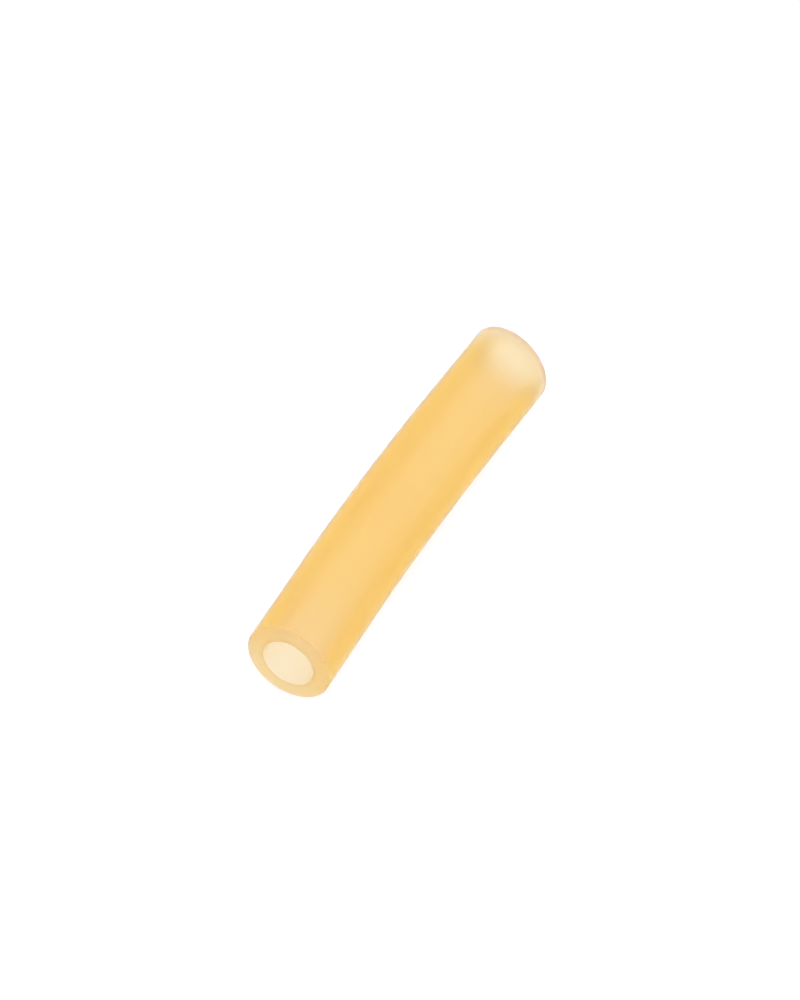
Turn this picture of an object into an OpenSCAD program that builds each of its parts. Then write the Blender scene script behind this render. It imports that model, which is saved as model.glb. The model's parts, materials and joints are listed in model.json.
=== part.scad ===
// A short length of amber natural rubber tubing, as cut from a roll to join two glass tubes or barbs.
// It lies on its side with a slight set to one side. One end is cut square, the other by hand at a slant.
// Lengths are in millimetres and angles in degrees. X runs along the tube from the square cut to the
// slanted one, Y points to the outside of the bend, and Z is up. The origin is on the surface that the
// tube lies on, under the middle of the space that it fills.

/* [Section] */
// Diameter of the bore, which stretches over a glass tube or a barb
bore_d = 6; // [3:0.5:16]
// Thickness of the wall all round
wall_t = 2; // [0.5:0.25:5]

/* [Length and bend] */
// Length along the middle of the bore, from mouth to mouth
tube_length = 51.5; // [40:0.5:300]
// Straight stretch behind each mouth, which takes the glass tube or barb
straight_end = 10; // [5:0.5:15]
// Angle that the tube turns through between its straight ends
bend_angle = 4.2; // [1:0.1:45]

/* [Slanted cut] */
// Angle of the cut away from square
cut_slant = 6.3; // [0:0.1:20]
// Where the slanted end is longest, counted round the tube from the outside of the bend upwards
cut_turn = 30; // [0:5:355]

/* [Hidden] */

rubber_amber = "#F2C97F";
round_fn = 96;
bend_fn = 1440;

// The section
bore_r = bore_d / 2;
outer_r = bore_r + wall_t;

// The bend lies flat, with the middle of its arc at X 0 and Y 0 before the tube is put on its origin
half_turn = bend_angle / 2;
arc_length = tube_length - 2 * straight_end;
bend_r = arc_length / (bend_angle * PI / 180);

// Rubber left past a mouth or the middle of the bend before it is cut, and the block that takes it off
stock_past = 1;
cut_stock = outer_r * tan(cut_slant) + stock_past;
cut_block = 4 * outer_r;
spare_turn = stock_past / bend_r * 180 / PI;

// Middle of the mouths, which lie at the same Y on each side of the bend
mouth_x = bend_r * sin(half_turn) + straight_end * cos(half_turn);
mouth_y = bend_r * (cos(half_turn) - 1) - straight_end * sin(half_turn);

// How far the slanted rim leans out along the tube, for each unit out to the side or up
lean_side = tan(cut_slant) * cos(cut_turn);
lean_up = tan(cut_slant) * sin(cut_turn);

// Corners of the space that the tube fills. Each rim is a tilted ellipse, and this is as far as it reaches.
square_end_x = -mouth_x - outer_r * sin(half_turn);
slanted_end_x = mouth_x
    + outer_r * norm([lean_side * cos(half_turn) + sin(half_turn), lean_up * cos(half_turn)]);
square_rim_y = outer_r * cos(half_turn);
slanted_rim_y = outer_r * norm([cos(half_turn) - lean_side * sin(half_turn), lean_up * sin(half_turn)]);
inside_y = mouth_y - max(square_rim_y, slanted_rim_y);
outside_y = outer_r;

// Turns its children about the centre of the bend, so that what they draw as a straight stretch along X,
// from X 0, runs on from the end of the arc
module at_arc_end() {
    translate([0, -bend_r, 0])
        rotate([0, 0, -half_turn])
            translate([0, bend_r, 0])
                children();
}

// Half of a round rod along the tube's course, from the middle of the bend to a mouth and past it as told
module half_rod(radius, past) {
    difference() {
        at_arc_end() {
            translate([0, -bend_r, 0])
                rotate([0, 0, 90])
                    rotate_extrude(angle = half_turn + spare_turn, $fn = bend_fn)
                        translate([bend_r, 0])
                            circle(r = radius, $fn = round_fn);
            rotate([0, 90, 0])
                cylinder(r = radius, h = straight_end + past, $fn = round_fn);
        }
        translate([-cut_block, -cut_block / 2, -cut_block / 2])
            cube(cut_block);
    }
}

// Half of the tube, its wall round its bore
module half_tube(past) {
    difference() {
        half_rod(outer_r, past);
        half_rod(bore_r, past + stock_past);
    }
}

// The waste past the slanted cut, which passes through the middle of the mouth
module cut_waste() {
    at_arc_end()
        translate([straight_end, 0, 0])
            rotate([cut_turn, 0, 0])
                rotate([0, 0, -cut_slant])
                    translate([0, -cut_block / 2, -cut_block / 2])
                        cube(cut_block);
}

// The tube, extruded in one piece: one wall round one bore, open at both mouths
module tubing() {
    color(rubber_amber)
        translate([-(square_end_x + slanted_end_x) / 2, -(inside_y + outside_y) / 2, outer_r]) {
            mirror([1, 0, 0])
                half_tube(0);
            difference() {
                half_tube(cut_stock);
                cut_waste();
            }
        }
}

tubing();
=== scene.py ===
import json
import math

import bpy
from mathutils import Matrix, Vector


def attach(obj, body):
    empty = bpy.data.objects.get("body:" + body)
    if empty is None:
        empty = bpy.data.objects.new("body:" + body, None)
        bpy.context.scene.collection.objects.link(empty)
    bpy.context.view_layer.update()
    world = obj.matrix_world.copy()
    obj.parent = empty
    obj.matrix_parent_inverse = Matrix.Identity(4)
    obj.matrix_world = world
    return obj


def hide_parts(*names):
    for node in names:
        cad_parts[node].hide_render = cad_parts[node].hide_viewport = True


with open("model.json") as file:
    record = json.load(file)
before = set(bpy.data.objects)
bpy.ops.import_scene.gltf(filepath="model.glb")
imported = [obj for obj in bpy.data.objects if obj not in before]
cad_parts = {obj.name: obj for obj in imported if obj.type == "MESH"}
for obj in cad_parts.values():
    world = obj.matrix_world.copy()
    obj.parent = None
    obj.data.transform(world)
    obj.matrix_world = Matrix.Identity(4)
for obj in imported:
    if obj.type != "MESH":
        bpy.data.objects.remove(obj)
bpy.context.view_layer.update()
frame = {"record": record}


# Rubber tube
# One wall of natural rubber round one bore, extruded as a long tube, cured and cut to length with a
# knife. It keeps a slight set from the roll that it came off, and lies on its side.

mounts = {mount["name"]: mount for mount in frame["record"]["mounts"]}
square_mouth = mounts["square_end_bore"]
slanted_mouth = mounts["slanted_end_bore"]
MM = 0.001
bore_r = square_mouth["dims"]["r_mm"] * MM
straight_end = square_mouth["dims"]["length_mm"] * MM
outer_r = mounts["square_end_outside"]["dims"]["r_mm"] * MM
wall = outer_r - bore_r

# The course lies flat: straight, arc, straight, with the arc's middle halfway between the mouths
square_pos, slanted_pos = Vector(square_mouth["pos_m"]), Vector(slanted_mouth["pos_m"])
half_turn = math.asin(-slanted_mouth["axis"][1])
half_span = (slanted_pos.x - square_pos.x) / 2
bend_r = (half_span - straight_end * math.cos(half_turn)) / math.sin(half_turn)
arc_half = bend_r * half_turn
bend_rise = bend_r * (1 - math.cos(half_turn)) + straight_end * math.sin(half_turn)
bend_middle = (square_pos + slanted_pos) / 2 + Vector((0, bend_rise, 0))

# The slanted cut, as in the part's source
cut_slant = math.radians(6.3)
cut_turn = math.radians(30)
slant_lean = Vector((0, math.cos(cut_turn), math.sin(cut_turn))) * math.tan(cut_slant)

# What a knife and an extruder leave. The square cut is a degree or so off square, inside the true one's box.
square_lean = Vector((0, 0.02, 0.015))
skin_rise = -0.012 * MM
lip_r = 0.06 * MM
bore_shift = Vector((0, 0.11, -0.28)) * MM
bore_shift_slanted = Vector((0, -0.05, 0.05)) * MM
wall_ripple = 0.05 * MM
ripple_length = 9 * MM
knife_ripple = 0.04 * MM
knife_length = 1.2 * MM


def result(node):
    """The socket that a node gives its result at: the first that is in use."""
    return next(s for s in node.outputs if s.enabled)


def add_node(tree, kind, links=None, **settings):
    """A node of this kind, with its settings, and its inputs linked to a node or socket, or set."""
    made = tree.nodes.new(kind)
    for name, value in settings.items():
        setattr(made, name, value)
    for key, value in (links or {}).items():
        socket = next(s for i, s in enumerate(made.inputs) if s.enabled and key in (i, s.name))
        if isinstance(value, bpy.types.Node):
            value = result(value)
        if isinstance(value, bpy.types.NodeSocket):
            tree.links.new(value, socket)
        else:
            socket.default_value = value
    return made


tube_sizes = {
    "Bore radius": bore_r,
    "Wall": wall,
    "Length": 2 * (arc_half + straight_end),
    "Straight end": straight_end,
    "Bend radius": bend_r,
    "Lip radius": lip_r,
    "Bore shift, square end": bore_shift,
    "Bore shift, slanted end": bore_shift_slanted,
    "Slant lean": slant_lean,
    "Square lean": square_lean,
    "Bend middle": bend_middle,
    "Skin rise": skin_rise,
    "Wall ripple": wall_ripple,
    "Ripple length": ripple_length,
    "Knife ripple": knife_ripple,
    "Knife length": knife_length,
    "Segments round": 192,
    "Cuts along": 110,
    "Cuts across the wall": 26,
    "Seed": 7.0,
}
SOCKET_KINDS = {float: "NodeSocketFloat", int: "NodeSocketInt", Vector: "NodeSocketVector"}


def tube_tree():
    """The tree that sweeps the wall's section round the bore, roughens it, slants the cuts and bends it."""
    tree = bpy.data.node_groups.new("extruded_tube", "GeometryNodeTree")
    for name, value in tube_sizes.items():
        tree.interface.new_socket(name, in_out="INPUT", socket_type=SOCKET_KINDS[type(value)])
    tree.interface.new_socket("Rubber", in_out="INPUT", socket_type="NodeSocketMaterial")
    tree.interface.new_socket("Geometry", in_out="OUTPUT", socket_type="NodeSocketGeometry")
    size = add_node(tree, "NodeGroupInput").outputs

    # The wall's section, a long thin rectangle: X is out from the bore and Y along it
    sides = add_node(tree, "GeometryNodeCurvePrimitiveQuadrilateral",
                     {"Width": size["Wall"], "Height": size["Length"]})
    corner = add_node(tree, "GeometryNodeInputIndex")
    odd = add_node(tree, "ShaderNodeMath", {0: corner, 1: 2.0}, operation="MODULO")
    cuts = add_node(tree, "GeometryNodeSwitch", {"Switch": odd, "False": size["Cuts across the wall"],
                    "True": size["Cuts along"]}, input_type="INT")
    section = add_node(tree, "GeometryNodeSubdivideCurve", {"Curve": sides, "Cuts": cuts})
    both = add_node(tree, "ShaderNodeCombineXYZ", {0: size["Wall"], 1: size["Length"], 2: 1.0})
    half = add_node(tree, "ShaderNodeVectorMath", {0: both, 1: (0.5, 0.5, 1)}, operation="MULTIPLY")

    # Points crowd towards the corners: s (3 - s s) / 2 for each side's s from -1 to 1
    at = add_node(tree, "GeometryNodeInputPosition")
    share = add_node(tree, "ShaderNodeVectorMath", {0: at, 1: half}, operation="DIVIDE")
    square = add_node(tree, "ShaderNodeVectorMath", {0: share, 1: share}, operation="MULTIPLY")
    ease = add_node(tree, "ShaderNodeVectorMath",
                    {0: square, 1: (-0.5, -0.5, 0), 2: (1.5, 1.5, 0)}, operation="MULTIPLY_ADD")
    eased = add_node(tree, "ShaderNodeVectorMath", {0: share, 1: ease}, operation="MULTIPLY")
    crowded = add_node(tree, "ShaderNodeVectorMath", {0: eased, 1: half}, operation="MULTIPLY")

    # The corners are rounded to the lip's radius round the nearest point of a smaller rectangle
    lip = add_node(tree, "ShaderNodeCombineXYZ", {0: size["Lip radius"], 1: size["Lip radius"]})
    reach = add_node(tree, "ShaderNodeVectorMath", {0: half, 1: lip}, operation="SUBTRACT")
    reach_back = add_node(tree, "ShaderNodeVectorMath", {0: reach, "Scale": -1.0}, operation="SCALE")
    capped = add_node(tree, "ShaderNodeVectorMath", {0: crowded, 1: reach}, operation="MINIMUM")
    inner = add_node(tree, "ShaderNodeVectorMath", {0: capped, 1: reach_back}, operation="MAXIMUM")
    away = add_node(tree, "ShaderNodeVectorMath", {0: crowded, 1: inner}, operation="SUBTRACT")
    outward = add_node(tree, "ShaderNodeVectorMath", {0: away}, operation="NORMALIZE")
    rounded = add_node(tree, "ShaderNodeVectorMath",
                       {0: outward, 1: lip, 2: inner}, operation="MULTIPLY_ADD")
    section = add_node(tree, "GeometryNodeSetPosition", {"Geometry": section, "Position": rounded})

    # Swept round a circle in the middle of the wall, then turned so that the bore lies along X
    middle_r = add_node(tree, "ShaderNodeMath",
                        {0: size["Wall"], 1: 0.5, 2: size["Bore radius"]}, operation="MULTIPLY_ADD")
    ring = add_node(tree, "GeometryNodeCurvePrimitiveCircle",
                    {"Resolution": size["Segments round"], "Radius": middle_r})
    swept = add_node(tree, "GeometryNodeCurveToMesh", {"Curve": ring, "Profile Curve": section})
    lying = add_node(tree, "GeometryNodeTransform", {"Geometry": swept, "Rotation": (0, math.pi / 2, 0)})

    # How far a point is along the tube and in from the outside, and where the arc starts and ends
    place = add_node(tree, "ShaderNodeSeparateXYZ", {0: at})
    flat = add_node(tree, "ShaderNodeVectorMath", {0: at, 1: (0, 1, 1)}, operation="MULTIPLY")
    radius = add_node(tree, "ShaderNodeVectorMath", {0: flat}, operation="LENGTH")
    outer = add_node(tree, "ShaderNodeMath", {0: size["Bore radius"], 1: size["Wall"]}, operation="ADD")
    depth = add_node(tree, "ShaderNodeMapRange",
                     {"Value": radius, "From Min": outer, "From Max": size["Bore radius"]})
    half_length = add_node(tree, "ShaderNodeMath", {0: size["Length"], 1: 0.5}, operation="MULTIPLY")
    back = add_node(tree, "ShaderNodeMath", {0: half_length, 1: -1.0}, operation="MULTIPLY")
    along = add_node(tree, "ShaderNodeMapRange",
                     {"Value": place.outputs["X"], "From Min": back, "From Max": half_length})
    arc_end = add_node(tree, "ShaderNodeMath",
                       {0: half_length, 1: size["Straight end"]}, operation="SUBTRACT")
    arc_start = add_node(tree, "ShaderNodeMath", {0: arc_end, 1: -1.0}, operation="MULTIPLY")

    # What the material reads: the place on the unbent tube, and which skin is the bore's or a cut face's
    from_middle = add_node(tree, "ShaderNodeMath", {0: place.outputs["X"]}, operation="ABSOLUTE")
    lip_start = add_node(tree, "ShaderNodeMath",
                         {0: half_length, 1: size["Lip radius"]}, operation="SUBTRACT")
    face = add_node(tree, "ShaderNodeMapRange",
                    {"Value": from_middle, "From Min": lip_start, "From Max": half_length})
    bore_start = add_node(tree, "ShaderNodeMath",
                          {0: size["Bore radius"], 1: size["Lip radius"]}, operation="ADD")
    bore = add_node(tree, "ShaderNodeMapRange",
                    {"Value": radius, "From Min": bore_start, "From Max": size["Bore radius"]})
    noted = lying
    for name, value, kind in (("straight", at, "FLOAT_VECTOR"),
                              ("cut_face", face, "FLOAT"), ("bore_skin", bore, "FLOAT")):
        noted = add_node(tree, "GeometryNodeStoreNamedAttribute",
                         {"Geometry": noted, "Name": name, "Value": value}, data_type=kind, domain="POINT")

    # The bore wanders a little off the middle, by another amount at each mouth
    shift = add_node(tree, "ShaderNodeMix", {"Factor": along, "A": size["Bore shift, square end"],
                     "B": size["Bore shift, slanted end"]}, data_type="VECTOR")
    wander = add_node(tree, "ShaderNodeVectorMath", {0: shift, "Scale": depth}, operation="SCALE")

    # Slow ripple of the extruded wall, along its own normal
    ripple_rate = add_node(tree, "ShaderNodeMath", {0: 1.0, 1: size["Ripple length"]}, operation="DIVIDE")
    ripple = add_node(tree, "ShaderNodeTexNoise", {"Vector": at, "W": size["Seed"], "Scale": ripple_rate,
                      "Detail": 1.0}, noise_dimensions="4D")
    swell = add_node(tree, "ShaderNodeMath", {0: ripple.outputs["Fac"], 1: 0.5}, operation="SUBTRACT")
    swell_by = add_node(tree, "ShaderNodeMath",
                        {0: swell, 1: size["Wall ripple"], 2: size["Skin rise"]}, operation="MULTIPLY_ADD")
    normal = add_node(tree, "GeometryNodeInputNormal")
    swelling = add_node(tree, "ShaderNodeVectorMath", {0: normal, "Scale": swell_by}, operation="SCALE")

    # Knife marks on the cut faces, along the tube, which fade within a wall's thickness of each mouth
    knife_rate = add_node(tree, "ShaderNodeMath", {0: 1.0, 1: size["Knife length"]}, operation="DIVIDE")
    knife = add_node(tree, "ShaderNodeTexNoise", {"Vector": at, "W": size["Seed"], "Scale": knife_rate,
                     "Detail": 2.0}, noise_dimensions="4D")
    nick = add_node(tree, "ShaderNodeMath", {0: knife.outputs["Fac"], 1: 0.5}, operation="SUBTRACT")
    face_start = add_node(tree, "ShaderNodeMath", {0: half_length, 1: size["Wall"]}, operation="SUBTRACT")
    at_face = add_node(tree, "ShaderNodeMapRange", {"Value": from_middle, "From Min": face_start,
                       "From Max": half_length}, interpolation_type="SMOOTHSTEP")
    nick_by = add_node(tree, "ShaderNodeMath", {0: nick, 1: size["Knife ripple"]}, operation="MULTIPLY")
    nick_at = add_node(tree, "ShaderNodeMath", {0: nick_by, 1: at_face}, operation="MULTIPLY")
    nicked = add_node(tree, "ShaderNodeCombineXYZ", {0: nick_at})

    # Each cut leans out along the tube, and its lean dies away over the straight end
    lean_share = add_node(tree, "ShaderNodeMapRange",
                          {"Value": place.outputs["X"], "From Min": arc_end, "From Max": half_length})
    lean = add_node(tree, "ShaderNodeVectorMath", {0: at, 1: size["Slant lean"]}, operation="DOT_PRODUCT")
    lean_by = add_node(tree, "ShaderNodeMath", {0: lean, 1: lean_share}, operation="MULTIPLY")
    square_share = add_node(tree, "ShaderNodeMapRange",
                            {"Value": place.outputs["X"], "From Min": arc_start, "From Max": back})
    square_leaning = add_node(tree, "ShaderNodeVectorMath",
                              {0: at, 1: size["Square lean"]}, operation="DOT_PRODUCT")
    both_leans = add_node(tree, "ShaderNodeMath",
                          {0: square_leaning, 1: square_share, 2: lean_by}, operation="MULTIPLY_ADD")
    leaning = add_node(tree, "ShaderNodeCombineXYZ", {0: both_leans})

    marks = add_node(tree, "ShaderNodeVectorMath", {0: swelling, 1: nicked}, operation="ADD")
    drift = add_node(tree, "ShaderNodeVectorMath", {0: wander, 1: leaning}, operation="ADD")
    moved = add_node(tree, "ShaderNodeVectorMath", {0: marks, 1: drift}, operation="ADD")
    shaped = add_node(tree, "GeometryNodeSetPosition", {"Geometry": noted, "Offset": moved})

    # The bend: X up to the arc's end becomes an angle, what is past it runs on straight, and Y is outwards
    on_arc = add_node(tree, "ShaderNodeClamp",
                      {"Value": place.outputs["X"], "Min": arc_start, "Max": arc_end})
    past_arc = add_node(tree, "ShaderNodeMath", {0: place.outputs["X"], 1: on_arc}, operation="SUBTRACT")
    turn = add_node(tree, "ShaderNodeMath", {0: on_arc, 1: size["Bend radius"]}, operation="DIVIDE")
    from_centre = add_node(tree, "ShaderNodeMath",
                           {0: size["Bend radius"], 1: place.outputs["Y"]}, operation="ADD")
    unbent = add_node(tree, "ShaderNodeCombineXYZ", {0: past_arc, 1: from_centre, 2: place.outputs["Z"]})
    back_turn = add_node(tree, "ShaderNodeMath", {0: turn, 1: -1.0}, operation="MULTIPLY")
    turned = add_node(tree, "ShaderNodeVectorRotate",
                      {"Vector": unbent, "Angle": back_turn}, rotation_type="Z_AXIS")
    centre = add_node(tree, "ShaderNodeCombineXYZ", {1: size["Bend radius"]})
    settled = add_node(tree, "ShaderNodeVectorMath", {0: turned, 1: centre}, operation="SUBTRACT")
    placed = add_node(tree, "ShaderNodeVectorMath", {0: settled, 1: size["Bend middle"]}, operation="ADD")
    bent = add_node(tree, "GeometryNodeSetPosition", {"Geometry": shaped, "Position": placed})

    smooth = add_node(tree, "GeometryNodeSetShadeSmooth", {"Geometry": bent, "Shade Smooth": True})
    real = add_node(tree, "GeometryNodeRealizeInstances", {"Geometry": smooth})
    finished = add_node(tree, "GeometryNodeSetMaterial", {"Geometry": real, "Material": size["Rubber"]})
    add_node(tree, "NodeGroupOutput", {"Geometry": finished})
    return tree


def linear(colour):
    """An sRGB hex colour, such as 'E7B56A', as linear red, green, blue and a full alpha."""
    parts = [int(colour[i:i + 2], 16) / 255 for i in (0, 2, 4)]
    return [c / 12.92 if c <= 0.04045 else ((c + 0.055) / 1.055) ** 2.4 for c in parts] + [1.0]


# Gum latex: natural rubber cured clear, with no filler. Light goes right through it, softened by the
# satin skin that the extruder's die leaves and ambered by each millimetre that it crosses, so the thin
# middle is pale and the thick sides are deep. Near its mouths the bore is painted a paler cream, as painted
# light for the light that comes in there. A bloom of talc pales the rims, and the knife leaves its cut
# faces rough and so duller.
gum_latex = bpy.data.materials.new("gum_latex")
gum_latex.use_nodes = True
gum_tree = gum_latex.node_tree
shader = gum_tree.nodes["Principled BSDF"]
cut_face = add_node(gum_tree, "ShaderNodeAttribute", attribute_name="cut_face").outputs["Fac"]
bore_skin = add_node(gum_tree, "ShaderNodeAttribute", attribute_name="bore_skin").outputs["Fac"]
straight = add_node(gum_tree, "ShaderNodeAttribute", attribute_name="straight").outputs["Vector"]
along = add_node(gum_tree, "ShaderNodeSeparateXYZ", {0: straight}).outputs["X"]
slanted_end = add_node(gum_tree, "ShaderNodeMath", {0: along, 1: 0.0}, operation="GREATER_THAN")
from_middle = add_node(gum_tree, "ShaderNodeMath", {0: along}, operation="ABSOLUTE")
mouth = arc_half + straight_end
noise_low, noise_high = 0.35, 0.65  # most of what a noise gives lies between these

# Painted light: the bore is paler where light comes in at each mouth, less at the slanted one, and this
# fades over the first 16 mm
mouth_light_reach = 16 * MM
slanted_mouth_light = 0.4
near_mouth = add_node(gum_tree, "ShaderNodeMapRange", {"Value": from_middle, "From Min": mouth - mouth_light_reach,
                      "From Max": mouth}, interpolation_type="SMOOTHSTEP")
mouth_lit_skin = add_node(gum_tree, "ShaderNodeMath", {0: bore_skin, 1: near_mouth}, operation="MULTIPLY")
mouth_light_share = add_node(gum_tree, "ShaderNodeMapRange",
                      {"Value": slanted_end, "To Min": 1.0, "To Max": slanted_mouth_light})
painted_mouth_light = add_node(gum_tree, "ShaderNodeMath", {0: mouth_lit_skin, 1: mouth_light_share}, operation="MULTIPLY")

# The die draws fine lines along the skin, over patches that are a little cloudier than the rest
die_line_length, die_line_gap = 45 * MM, 0.9 * MM
cloud_size = 7 * MM
die_place = add_node(gum_tree, "ShaderNodeMapping", {"Vector": straight,
                     "Scale": (1 / die_line_length, 1 / die_line_gap, 1 / die_line_gap)})
die_lines = add_node(gum_tree, "ShaderNodeTexNoise",
                     {"Vector": die_place, "Scale": 1.0, "Detail": 2.0, "Roughness": 0.6}).outputs["Fac"]
clouds = add_node(gum_tree, "ShaderNodeTexNoise", {"Vector": straight, "Scale": 1 / cloud_size,
                  "Detail": 3.0, "Roughness": 0.55}).outputs["Fac"]
skin_marks = add_node(gum_tree, "ShaderNodeMix", {"Factor": 0.5, "A": die_lines, "B": clouds})
skin_tone = add_node(gum_tree, "ShaderNodeMapRange",
                     {"Value": skin_marks, "From Min": noise_low, "From Max": noise_high})
gum = add_node(gum_tree, "ShaderNodeMix",
               {"Factor": skin_tone, "A": linear("FEF1D8"), "B": linear("FEF6E8")}, data_type="RGBA")
# Painted light: near the mouths the bore's colour turns towards a pale cream
mouth_lit_gum = add_node(gum_tree, "ShaderNodeMix",
                  {"Factor": painted_mouth_light, "A": gum, "B": linear("FCF5FA")}, data_type="RGBA")

# The knife drags the cut faces into ridges that run the way of its stroke
stroke_turn = math.radians(35)
ridge_depth, ridge_length, ridge_gap = 2 * MM, 3 * MM, 0.3 * MM
stroke = add_node(gum_tree, "ShaderNodeMapping", {"Vector": straight, "Rotation": (stroke_turn, 0, 0),
                  "Scale": (1 / ridge_depth, 1 / ridge_length, 1 / ridge_gap)})
knife_marks = add_node(gum_tree, "ShaderNodeTexNoise",
                       {"Vector": stroke, "Scale": 1.0, "Detail": 3.0, "Roughness": 0.6}).outputs["Fac"]
knife_tone = add_node(gum_tree, "ShaderNodeMapRange",
                      {"Value": knife_marks, "From Min": noise_low, "From Max": noise_high})
square_cut = add_node(gum_tree, "ShaderNodeMix",
                      {"Factor": knife_tone, "A": linear("FFE1A6"), "B": linear("FFE5B0")}, data_type="RGBA")
slanted_cut = add_node(gum_tree, "ShaderNodeMix", {"Factor": knife_tone, "A": linear("F2E4D3"),
                       "B": linear("F5E9DC")}, data_type="RGBA")
cut = add_node(gum_tree, "ShaderNodeMix",
               {"Factor": slanted_end, "A": square_cut, "B": slanted_cut}, data_type="RGBA")

# Crumbs of talc, up to 0.5 mm across, cling near the outer edge of a cut, and there is a rare speck of
# grit. They are spots in the middle of cells, read from a bent place so that they come out rough.
crumb_gap = 0.7 * MM
spot_edge, spot_full = 0.36, 0.18  # of the gap
crumb_bend_size, crumb_bend_by = 0.3 * MM, 0.4 * MM
crumb_band_start, crumb_band_full = outer_r - 1.5 * MM, outer_r - 0.7 * MM
bare_share, grit_share = 0.2, 0.012  # of the cells
crumb_seed = 1.0
crumb_bend = add_node(gum_tree, "ShaderNodeTexNoise",
                      {"Vector": straight, "Scale": 1 / crumb_bend_size, "Detail": 1.0})
crumb_place = add_node(gum_tree, "ShaderNodeVectorMath", {0: crumb_bend.outputs["Color"],
                       1: (crumb_bend_by, crumb_bend_by, crumb_bend_by), 2: straight},
                       operation="MULTIPLY_ADD")
crumb_cells = add_node(gum_tree, "ShaderNodeTexVoronoi",
                       {"Vector": crumb_place, "W": crumb_seed, "Scale": 1 / crumb_gap},
                       voronoi_dimensions="4D")
crumb_kind = add_node(gum_tree, "ShaderNodeSeparateColor", {0: crumb_cells.outputs["Color"]})
crumb_spot = add_node(gum_tree, "ShaderNodeMapRange", {"Value": crumb_cells.outputs["Distance"],
                      "From Min": spot_edge, "From Max": spot_full})
across = add_node(gum_tree, "ShaderNodeVectorMath", {0: straight, 1: (0, 1, 1)}, operation="MULTIPLY")
out_from_bore = add_node(gum_tree, "ShaderNodeVectorMath", {0: across}, operation="LENGTH")
at_edge = add_node(gum_tree, "ShaderNodeMapRange",
                   {"Value": out_from_bore, "From Min": crumb_band_start, "From Max": crumb_band_full})
on_cut = add_node(gum_tree, "ShaderNodeMath", {0: crumb_spot, 1: cut_face}, operation="MULTIPLY")
on_edge = add_node(gum_tree, "ShaderNodeMath", {0: on_cut, 1: at_edge}, operation="MULTIPLY")
is_talc = add_node(gum_tree, "ShaderNodeMath",
                   {0: crumb_kind.outputs["Red"], 1: bare_share}, operation="GREATER_THAN")
is_grit = add_node(gum_tree, "ShaderNodeMath",
                   {0: crumb_kind.outputs["Green"], 1: grit_share}, operation="LESS_THAN")
crumb = add_node(gum_tree, "ShaderNodeMath", {0: on_edge, 1: is_talc}, operation="MULTIPLY")
grit = add_node(gum_tree, "ShaderNodeMath", {0: on_cut, 1: is_grit}, operation="MULTIPLY")

# Painted shade: the cut faces are darker in a ring, half a millimetre wide, round the edge of the bore
ring_end, ring_full = bore_r + 0.6 * MM, bore_r + 0.1 * MM
ring_share = 0.3
bore_edge_shade = add_node(gum_tree, "ShaderNodeMapRange", {"Value": out_from_bore, "From Min": ring_end,
                   "From Max": ring_full, "To Max": ring_share})
shaded_bore_edge = add_node(gum_tree, "ShaderNodeMix",
                  {"Factor": bore_edge_shade, "A": cut, "B": linear("E3BE82")}, data_type="RGBA")
crumbed = add_node(gum_tree, "ShaderNodeMix",
                   {"Factor": crumb, "A": shaded_bore_edge, "B": linear("FFECCA")}, data_type="RGBA")
gritty = add_node(gum_tree, "ShaderNodeMix",
                  {"Factor": grit, "A": crumbed, "B": linear("C99A62")}, data_type="RGBA")

# A soft tan line, 0.6 mm wide, runs round the skin behind the slanted cut
line_start, line_full = mouth - 0.9 * MM, mouth - 0.3 * MM
line_share = 0.6
behind_cut = add_node(gum_tree, "ShaderNodeMapRange", {"Value": along, "From Min": line_start,
                      "From Max": line_full, "To Max": line_share}, interpolation_type="SMOOTHSTEP")
tan_line = add_node(gum_tree, "ShaderNodeMath", {0: behind_cut, 1: at_edge}, operation="MULTIPLY")
lined = add_node(gum_tree, "ShaderNodeMix",
                 {"Factor": tan_line, "A": mouth_lit_gum, "B": linear("EBC593")}, data_type="RGBA")
colour = add_node(gum_tree, "ShaderNodeMix", {"Factor": cut_face, "A": lined, "B": gritty}, data_type="RGBA")
gum_tree.links.new(result(colour), shader.inputs["Base Color"])

# How much light goes through: all of it at the skins, less at the cuts, and least at the square one
skin_clear, square_clear, slanted_clear, crumb_clear = 1.0, 0.5, 0.9, 0.8
clear_cut = add_node(gum_tree, "ShaderNodeMix",
                     {"Factor": slanted_end, "A": square_clear, "B": slanted_clear})
clear_crumb = add_node(gum_tree, "ShaderNodeMix", {"Factor": crumb, "A": clear_cut, "B": crumb_clear})
clearness = add_node(gum_tree, "ShaderNodeMix", {"Factor": cut_face, "A": skin_clear, "B": clear_crumb})
gum_tree.links.new(result(clearness), shader.inputs["Transmission Weight"])

# The die leaves the outside satin, its mandrel and the knife leave the bore and the cuts matt
satin_low, satin_high, matt_roughness = 0.76, 0.84, 0.95
satin = add_node(gum_tree, "ShaderNodeMapRange", {"Value": clouds, "From Min": noise_low,
                 "From Max": noise_high, "To Min": satin_low, "To Max": satin_high})
matt = add_node(gum_tree, "ShaderNodeMath", {0: bore_skin, 1: cut_face}, operation="MAXIMUM")
dullness = add_node(gum_tree, "ShaderNodeMix", {"Factor": matt, "A": satin, "B": matt_roughness})
gum_tree.links.new(result(dullness), shader.inputs["Roughness"])

# Solid natural rubber has an index of about 1.52, which makes the tube too dark in this tent, its bore
# most of all, so the index is matched to the real tube's colours. The sheen stands for a bloom of talc.
shader.inputs["IOR"].default_value = 1.2
shader.inputs["Sheen Weight"].default_value = 1.0
shader.inputs["Sheen Roughness"].default_value = 0.26

# The lines and ridges stand up to 0.02 mm from the surface
relief_height = 0.02 * MM
relief = add_node(gum_tree, "ShaderNodeMix", {"Factor": cut_face, "A": die_lines, "B": knife_marks})
raised = add_node(gum_tree, "ShaderNodeBump", {"Height": relief, "Distance": relief_height, "Strength": 1.0})
gum_tree.links.new(result(raised), shader.inputs["Normal"])

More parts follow.
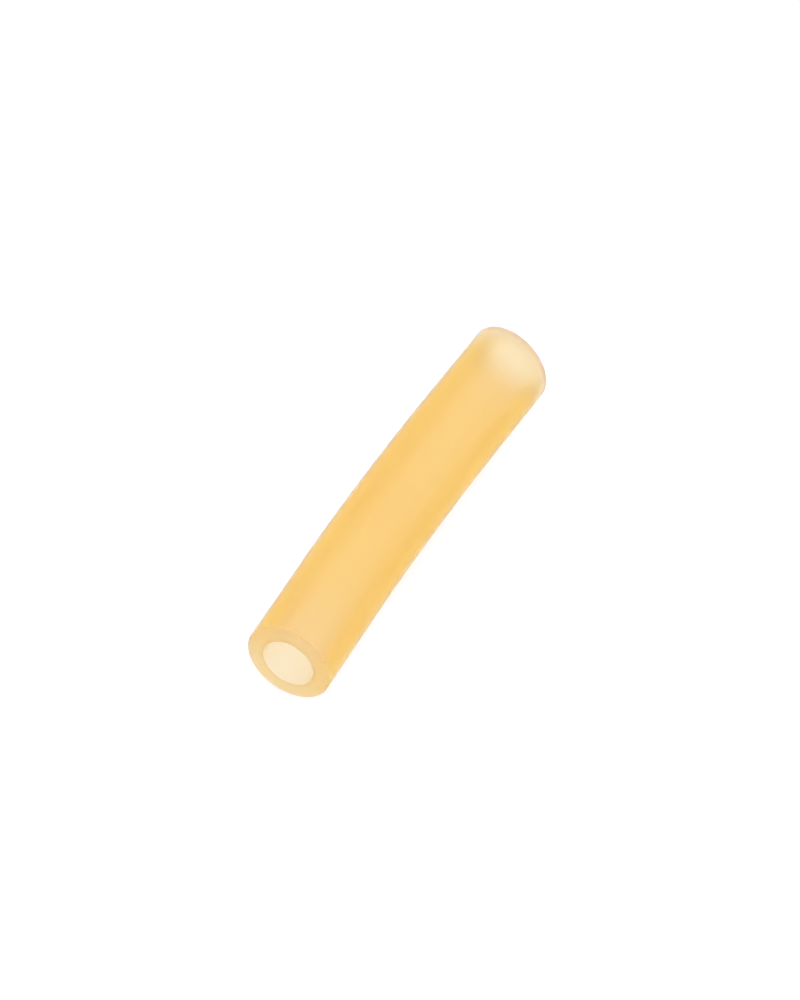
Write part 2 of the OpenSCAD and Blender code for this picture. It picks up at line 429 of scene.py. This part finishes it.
# What each millimetre of the rubber takes out of the light, most of it blue
depth_colour = add_node(gum_tree, "ShaderNodeVolumeAbsorption",
                        {"Color": linear("FFE50F"), "Density": 158.0})
gum_tree.links.new(result(depth_colour), gum_tree.nodes["Material Output"].inputs["Volume"])

raw_tube = bpy.data.objects.new("raw_tube", bpy.data.meshes.new("raw_tube"))
bpy.context.scene.collection.objects.link(raw_tube)
modifier = raw_tube.modifiers.new("extruded_tube", "NODES")
modifier.node_group = tube_tree()
for item in modifier.node_group.interface.items_tree:
    if item.name in tube_sizes:
        modifier[item.identifier] = tube_sizes[item.name]
    elif item.name == "Rubber":
        modifier[item.identifier] = gum_latex
evaluated = raw_tube.evaluated_get(bpy.context.evaluated_depsgraph_get())
tube = bpy.data.objects.new("rubber_tube", bpy.data.meshes.new_from_object(evaluated))
bpy.context.scene.collection.objects.link(tube)
bpy.data.objects.remove(raw_tube)
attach(tube, "root")
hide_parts("tubing")


# White table
# The plain white sheet that the tube lies on, far wider than the view, with only a soft shadow.

table_half = 3.0
table_mesh = bpy.data.meshes.new("table")
table_mesh.from_pydata([(-table_half, -table_half, 0), (table_half, -table_half, 0),
                        (table_half, table_half, 0), (-table_half, table_half, 0)], [], [(0, 1, 2, 3)])
table = bpy.data.objects.new("table", table_mesh)
bpy.context.scene.collection.objects.link(table)

# Matt white paper with a brightener, which gives back a little blue light of its own, so that the sheet
# has no edge and takes no amber tint from the tube. The rubber is shown it as plain white.
white_paper = bpy.data.materials.new("matt_white_paper")
white_paper.use_nodes = True
paper_tree = white_paper.node_tree
paper_shader = paper_tree.nodes["Principled BSDF"]
paper_shader.inputs["Base Color"].default_value = linear("F0F0F0")
paper_shader.inputs["Roughness"].default_value = 0.9
paper_shader.inputs["Specular IOR Level"].default_value = 0.0
paper_shader.inputs["Emission Color"].default_value = linear("B4CCFF")
rays = add_node(paper_tree, "ShaderNodeLightPath")
brightener = 0.5
lift = add_node(paper_tree, "ShaderNodeMath",
                {0: rays.outputs["Is Camera Ray"], 1: brightener}, operation="MULTIPLY")
paper_tree.links.new(result(lift), paper_shader.inputs["Emission Strength"])
seen_through = add_node(paper_tree, "ShaderNodeMath", {0: rays.outputs["Is Transmission Ray"],
                        1: rays.outputs["Is Glossy Ray"]}, operation="MAXIMUM")
plain_white = add_node(paper_tree, "ShaderNodeEmission", {"Color": linear("FFFFFF"), "Strength": 1.0})
paper = add_node(paper_tree, "ShaderNodeMixShader", {0: seen_through, 1: paper_shader, 2: plain_white})
paper_tree.links.new(result(paper), paper_tree.nodes["Material Output"].inputs["Surface"])
table_mesh.materials.append(white_paper)


# Light tent
# White cloth all round, lit from outside, and one wide soft box low on the right of the view.

tent = bpy.data.worlds.new("tent")
tent.use_nodes = True
bpy.context.scene.world = tent
cloth = tent.node_tree.nodes["Background"]
cloth.inputs["Color"].default_value = linear("FFFFFF")

# The cloth is a tenth dimmer for what it lights than for what is seen of it, mirrored or through the rubber
tent_rays = add_node(tent.node_tree, "ShaderNodeLightPath")
through = add_node(tent.node_tree, "ShaderNodeMath", {0: tent_rays.outputs["Is Camera Ray"],
                   1: tent_rays.outputs["Is Transmission Ray"]}, operation="MAXIMUM")
shown = add_node(tent.node_tree, "ShaderNodeMath",
                 {0: through, 1: tent_rays.outputs["Is Glossy Ray"]}, operation="MAXIMUM")
shading_level, seen_level = 0.9, 1.0
tent_level = add_node(tent.node_tree, "ShaderNodeMapRange",
                      {"Value": shown, "To Min": shading_level, "To Max": seen_level})
tent.node_tree.links.new(result(tent_level), cloth.inputs["Strength"])

soft_box = bpy.data.lights.new("soft_box", "AREA")
soft_box.shape = "SQUARE"
soft_box.size = 0.4
soft_box.energy = 0.5
soft_box_object = bpy.data.objects.new("soft_box", soft_box)
bpy.context.scene.collection.objects.link(soft_box_object)
soft_box_object.location = (0.25, -0.45, 0.2)
to_tube = -soft_box_object.location
soft_box_object.rotation_euler = to_tube.to_track_quat("-Z", "Y").to_euler()


# Camera
# A long lens from about 0.6 m, looking down on the tube from beside its square end.

aim = Vector((0.848, 0.546, 5.0)) * MM
heading = math.radians(28.11)
look_down = math.radians(45.98)
distance = 0.6
camera = bpy.data.objects.new("camera", bpy.data.cameras.new("camera"))
camera.data.lens = 196.32
camera.data.sensor_width = 36.0
camera.data.clip_start = 0.01
forward = Vector((math.cos(heading) * math.cos(look_down), math.sin(heading) * math.cos(look_down),
                  -math.sin(look_down)))
camera.location = aim - forward * distance
camera.rotation_euler = forward.to_track_quat("-Z", "Y").to_euler()
bpy.context.scene.collection.objects.link(camera)
bpy.context.scene.camera = camera
bpy.context.scene.view_settings.view_transform = "Standard"
